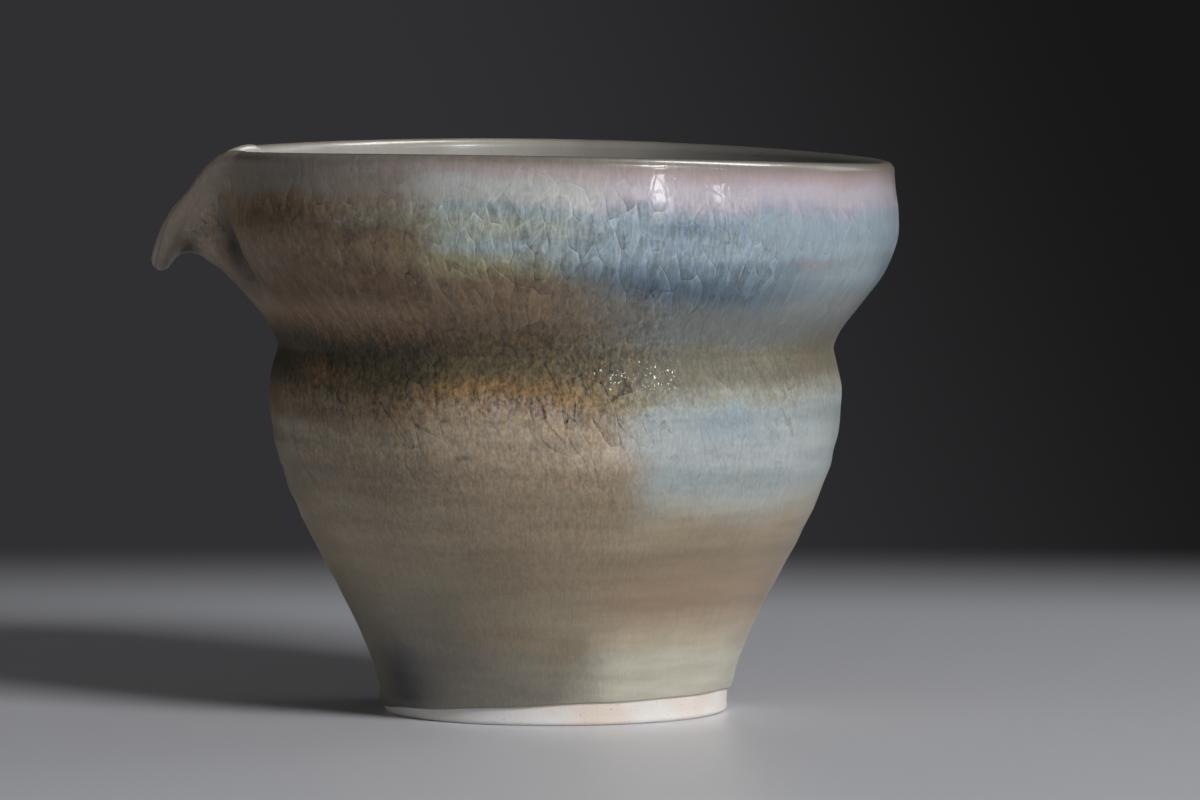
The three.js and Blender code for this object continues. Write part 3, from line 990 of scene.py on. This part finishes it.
def outerGlazeMaterial():
    look = outerGlaze
    colours = painted(look)
    material, bench, shader = newMaterial("crackled_banded_glaze")
    drum = bench.term("ShaderNodeAttribute", output="Vector", attribute_name="drumPlace")
    height = bench.axis(drum, "Z") * 1000
    cracks = bench.group(crackleGroup, {"Place": drum})
    # band edges wander with a slow noise, a fine one stretched along the height, and the cells' tones
    slow = bench.noise(drum * (1, 1, 0.7), 60) - 0.5
    fine = (bench.noise(drum * (1, 1, 0.45), 640, 3, 0.65) - 0.5) * bench.span(height, 16, 36, 0.5, 2)
    lift = slow * look["bandWander"] + fine + cracks["Tone"] * look["cellLift"]
    lift = lift * bench.span(height, 68, 71.5, 1, 0.2)
    # turn: the angle in radians away from the middle of the blue side, either way round
    onUnitDrum = drum * (1000 / drumRadius)
    turn = bench.math("ARCCOSINE", bench.math("DOT_PRODUCT", onUnitDrum, towards(look["middleAngle"])))
    turn = turn + slow * 0.6
    colour, poured = bandedColour(bench, height + lift, height, turn)
    moved = drum + bench.joined(0, 0, lift / 1000)
    for name, angle, patchHeight, angleReach, heightReach, strength in outerPatches:
        mask = patchMask(bench, moved, angle, patchHeight, angleReach, heightReach)
        colour = bench.mix(mask * strength, colour, colours[name])
    # grain: flecks over half a millimetre wide, upright hairs and a drift between warm and cool, calmer near
    # the foot, at the rim and on the blue side, and level streaks
    calm = bench.span(turn - bench.span(height, 50, 56, 0, -0.3), 0.5, 0.9, 0.38, 1)
    waist = bench.span(height, *look["waistFrom"]) * bench.span(height, *look["waistTo"])
    worked = bench.span(height, 12, 42, 0.34, 1) + waist * 1.1
    worked = worked * bench.span(height, *look["belowRim"], 1, 0.35) * calm
    grain = bench.group(grainGroup, {"Place": drum, "Size": 0.62, "Stretch": 1.5})
    hairs = bench.noise(drum * (1, 1, 0.2), 3300, 1) - 0.5
    hairs = bench.span(hairs, -0.2, 0.2, -look["hairDepth"], look["hairDepth"])
    hairs = hairs * bench.span(poured, 0, 1, 0.6, 1.1) * bench.span(waist, 0, 1, 1, 0.45)
    flecks = grain["Tone"] * (look["fleckDepth"] - poured * 0.13)
    streaks = (bench.noise(drum * (0.1, 0.1, 1), 560, 2, 0.6) - 0.5) * bench.span(height, 50, 44, 0.14, 0.5)
    # the cracks show from the middle of the belly up, and come and go with a noise
    shows = bench.span(height, 24, 36, 0.15, 1) * bench.span(height, *look["belowRim"], 1, 0.4) * calm
    shows = shows * bench.span(bench.noise(drum, 70, 1), 0.34, 0.56, 0.5, 1)
    facets = crackedTone(bench, drum, height, cracks) * shows
    tone = (flecks + hairs) * worked + streaks + 1 + facets * look["crackDepth"]
    warmth = (bench.noise(drum * (1, 1, 0.5), 900, 2, 0.6) - 0.5) * worked * look["warmthDepth"]
    tones = {0: tone + warmth * 0.5, 1: tone, 2: tone - warmth * 0.7}
    colour = bench.mix(1, colour, bench.term("ShaderNodeCombineColor", tones), "MULTIPLY")
    # the waist is rough. In front its tiny facets, cells with a random lean each, catch a lamp as sparks.
    sparks = patchMask(bench, moved, *look["sparks"])
    glossy = bench.span(height, 66.8, 67.8, 0.2, 1) - waist * 0.19 + sparks * 1.2
    relief = grain["Height"] * worked * 0.25 - cracks["Line"] * 0.07
    bump = bench.bump(0.6, 0.00012, relief)
    facet = bench.term("ShaderNodeTexVoronoi", {"Vector": drum, "Scale": 4300}, "Color", feature="F1")
    lean = (facet - 0.5) * (sparks * look["sparkLean"])
    # the coat ends towards the lip, where the photograph shows no gloss, and as far round the back
    bench.fill(shader.inputs, {
        "Base Color": colour,
        "Roughness": grain["Tone"] * 0.05 + look["roughness"] + waist * look["waistRoughness"],
        "Coat Weight": glossy * bench.span(turn, 1.7, 1.9, look["coat"], 0),
        "Coat Roughness": look["coatRoughness"],
        "Normal": bump,
        "Coat Normal": bench.math("NORMALIZE", bump + lean),
    })
    return material


# Looks of the inner glaze. The crest's heights are in metres, and the patch of painted shade is given as
# outerPatches gives its own.
innerGlaze = {
    "colours": {
        "cream": (168, 164, 157), "grey": (150, 146, 139), "rimBrown": (128, 114, 102),
        "pool": (140, 148, 148), "paintedShadeGrey": (70, 69, 67),
    },
    "cracks": {"CellWidth": 4.5, "CellHeight": 6.0, "LineWidth": 0.035},
    "crackStrength": 0.4,
    "crest": (0.0716, 0.0734),
    "shaded": (225, 71.0, 0.75, 7.0),
    "shadedStrength": 0.85,
    "roughness": 0.35,
    "coat": 0.25,
    "coatRoughness": 0.12,
}


# Inner glaze: cream and grey in slow patches, bluish on the floor, brown on the crest of the rim, finely
# cracked, and darkened by painted shade at the far right, where little light falls in. It is glossy but for
# the lip.
def innerGlazeMaterial():
    look = innerGlaze
    colours = painted(look)
    material, bench, shader = newMaterial("pale_inner_glaze")
    place = bench.term("ShaderNodeTexCoord", output="Object")
    drum = bench.term("ShaderNodeAttribute", output="Vector", attribute_name="drumPlace")
    height = bench.axis(drum, "Z")
    slow = bench.noise(place, 55, 3, 0.55)
    colour = bench.mix(bench.span(slow, 0.35, 0.7), colours["cream"], colours["grey"])
    colour = bench.mix(bench.span(height, 0.012, 0) * 0.55, colour, colours["pool"])
    crest = bench.span(height + (slow - 0.5) * 0.002, *look["crest"])
    colour = bench.mix(crest, colour, colours["rimBrown"])
    cracks = bench.group(crackleGroup, {"Place": place, **look["cracks"]})
    colour = bench.mix(cracks["Line"] * look["crackStrength"], colour, colours["grey"])
    # painted shade: the inside at the far right is darkened, where little light falls in
    shaded = patchMask(bench, drum, *look["shaded"]) * look["shadedStrength"]
    bench.fill(shader.inputs, {
        "Base Color": bench.mix(shaded, colour, colours["paintedShadeGrey"]),
        "Roughness": look["roughness"],
        "Coat Weight": bench.span(bench.axis(place, "X"), -0.033, -0.026, 0, look["coat"]),
        "Coat Roughness": look["coatRoughness"],
        "Normal": bench.bump(0.3, 0.00008, slow),
    })
    return material


clayLook = {
    "colours": {"pale": (217, 215, 212), "flush": (214, 200, 188), "speck": (150, 130, 110)},
    "roughness": 0.72,
}
slipLook = {
    "colours": {"pale": (208, 200, 184), "flush": (190, 172, 150), "speck": (150, 130, 110)},
    "roughness": 0.85,
}


# Bare clay: pale, flushed in slow patches, with small specks
def clayMaterial(name, look):
    material, bench, shader = newMaterial(name)
    place = bench.term("ShaderNodeTexCoord", output="Object")
    grain = bench.group(grainGroup, {"Place": place, "Size": 0.35, "Stretch": 1.0})
    colours = painted(look)
    colour = bench.mix(bench.span(bench.noise(place, 120), 0.4, 0.75), colours["pale"], colours["flush"])
    specks = bench.span(bench.noise(place, 2600, 1, 0.4), 0.7, 0.8)
    bench.fill(shader.inputs, {
        "Base Color": bench.mix(specks * 0.5, colour, colours["speck"]),
        "Roughness": look["roughness"],
        "Normal": bench.bump(0.4, 0.0001, grain["Height"]),
    })
    return material


bareClay = clayMaterial("bare_clay", clayLook)
for owner, material in (
    (outerPiece, outerGlazeMaterial()),
    (innerPiece, innerGlazeMaterial()),
    (bowlPiece, bareClay),
    (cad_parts["pouring_lip"], bareClay),
    (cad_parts["luting_slip"], clayMaterial("dried_slip", slipLook)),
):
    owner.data.materials.clear()
    owner.data.materials.append(material)
print("materials made")

# Camera where the photographer stood: a metre off, its lens on the pitcher, looking slightly down
cameraPlace = {"distance": 1.0, "height": 0.1, "aside": 0.0058, "down": 3.404, "lens": 230.1}
eye = (axisX * mm + cameraPlace["aside"], -cameraPlace["distance"], cameraPlace["height"])

# Backdrop: a charcoal wall that darkens to the right and upward, by the direction it is seen in from the
# camera's place. The floor fades into the same tones behind the pitcher.
backdrop = {"left": (48, 48, 50), "right": (23, 23, 24), "from": -0.04, "to": 0.065, "upward": 0.44}


def makeBackdropGroup():
    bench, start, end = newGroup("backdropTone", [("Direction", "Vector", None)], [("Color", "Color")])
    aimed = bench.math("NORMALIZE", start["Direction"])
    across = bench.math("DOT_PRODUCT", aimed, (1, 0, backdrop["upward"]))
    fade = bench.span(across, backdrop["from"], backdrop["to"])
    bench.fill(end, {"Color": bench.mix(fade, paint(*backdrop["left"]), paint(*backdrop["right"]))})
    return bench.tree


backdropGroup = makeBackdropGroup()
floorLook = {
    "radius": 6,
    "near": (216, 217, 223),
    "paleTo": 0.135,
    "darkFrom": 0.28,
    "lampSideFrom": (0.22, 0.8),
    "lampSide": 0.2,
    "roughness": 0.34,
}


# Floor: a disc that glows like the backdrop where it is far behind the pitcher, and has painted shade
# towards the key lamp, which darkens it so that it isn't overexposed there
def addFloor():
    mesh = bpy.data.meshes.new("floor")
    angles = np.linspace(0, 2 * math.pi, 97)[:-1]
    ring = np.column_stack([np.cos(angles), np.sin(angles), 0 * angles]) * floorLook["radius"]
    mesh.from_pydata(ring.tolist(), [], [list(range(len(ring)))])
    floor = bpy.data.objects.new("floor", mesh)
    bpy.context.scene.collection.objects.link(floor)
    material, bench, shader = newMaterial("grey_table")
    place = bench.term("ShaderNodeTexCoord", output="Object")
    away = bench.math("LENGTH", place * (0.55, 1, 0))
    behind = bench.span(bench.axis(place, "Y"), 0, 0.12)
    fade = bench.span(away, floorLook["paleTo"], floorLook["darkFrom"]) * behind
    # painted shade on the floor's side towards the key lamp
    towardsLamp = bench.math("DOT_PRODUCT", place, (0.67, -0.74, 0))
    shade = bench.span(towardsLamp, *floorLook["lampSideFrom"], 1, floorLook["lampSide"])
    bench.fill(shader.inputs, {
        "Base Color": bench.mix(1, paint(*floorLook["near"]), shade, "MULTIPLY"),
        "Roughness": floorLook["roughness"],
    })
    tone = bench.group(backdropGroup, {"Direction": place - eye})["Color"]
    glow = bench.term("ShaderNodeEmission", {"Color": tone})
    both = bench.term("ShaderNodeMixShader", {0: fade, 1: Term(bench, shader.outputs[0]), 2: glow})
    bench.fill(bench.tree.nodes["Material Output"].inputs, {"Surface": both})
    mesh.materials.append(material)


# Lamps: degrees to the right of the camera and up, as seen from the pitcher, distance, size and power
lamps = {
    "keyLamp": (42, 29, 1.2, (0.42, 0.42), 13),
    "windowLamp": (35.4, 8.2, 1.5, (0.1, 0.24), 1.6),
    "smallWindow": (56.8, 11, 1.5, (0.09, 0.1), 0.35),
    "crestLamp": (103, 58, 1.5, (0.42, 0.7), 16),
    "sparkLamp": (36, 27, 1.5, (0.22, 0.22), 7),
    "fillLamp": (-75, 3, 1.6, (1.0, 0.16), 1.9),
    "backLamp": (120, 24, 1.5, (0.6, 0.6), 2.0),
}
# Lamps that nothing mirrors, lamps that only gloss shows, and lamps that light the pitcher but not the floor
unmirrored = ("keyLamp", "fillLamp")
glossOnly = ("crestLamp", "sparkLamp")
pitcherOnly = ("windowLamp", "smallWindow", "crestLamp", "sparkLamp")
ambientLight = 0.05


def addLamps():
    aim = np.array([axisX * mm, 0, 0.04])
    pitcher = bpy.data.collections.new("pitcher")
    for piece in (outerPiece, innerPiece, bowlPiece):
        pitcher.objects.link(piece)
    for name, (aside, up, away, size, watts) in lamps.items():
        aside, up = math.radians(aside), math.radians(up)
        level = math.cos(up)
        outwards = np.array([math.sin(aside) * level, -math.cos(aside) * level, math.sin(up)])
        data = bpy.data.lights.new(name, "AREA")
        data.shape = "RECTANGLE"
        data.size, data.size_y = size
        data.energy = watts
        item = bpy.data.objects.new(name, data)
        item.location = aim + outwards * away
        item.rotation_euler = Vector(outwards).to_track_quat("Z", "Y").to_euler()
        item.visible_glossy = name not in unmirrored
        item.visible_diffuse = name not in glossOnly
        if name in pitcherOnly:
            item.light_linking.receiver_collection = pitcher
        bpy.context.scene.collection.objects.link(item)


# The world lights softly, and the camera and reflections see the backdrop instead
def addWorld():
    world = bpy.data.worlds.new("room")
    world.use_nodes = True
    world.node_tree.nodes.clear()
    bench = NodeBench(world.node_tree)
    rays = bench.terms("ShaderNodeLightPath")
    seen = bench.math("MAXIMUM", rays["Is Camera Ray"], rays["Is Glossy Ray"])
    seen = bench.math("MAXIMUM", seen, rays["Is Transmission Ray"])
    direction = bench.term("ShaderNodeTexCoord", output="Generated")
    tone = bench.group(backdropGroup, {"Direction": direction})["Color"]
    ambient = bench.term("ShaderNodeBackground", {"Color": (1, 1, 1, 1), "Strength": ambientLight})
    wall = bench.term("ShaderNodeBackground", {"Color": tone, "Strength": 1})
    both = bench.term("ShaderNodeMixShader", {0: seen, 1: ambient, 2: wall})
    bench.add("ShaderNodeOutputWorld", {"Surface": both})
    bpy.context.scene.world = world


def addCamera():
    data = bpy.data.cameras.new("camera")
    data.lens = cameraPlace["lens"]
    data.clip_end = 20
    camera = bpy.data.objects.new("camera", data)
    camera.location = eye
    camera.rotation_euler = (math.radians(90 - cameraPlace["down"]), 0, 0)
    bpy.context.scene.collection.objects.link(camera)
    bpy.context.scene.camera = camera


addFloor()
addLamps()
addWorld()
addCamera()
bpy.context.scene.view_settings.view_transform = "Standard"
print("floor, lamps, world and camera made")
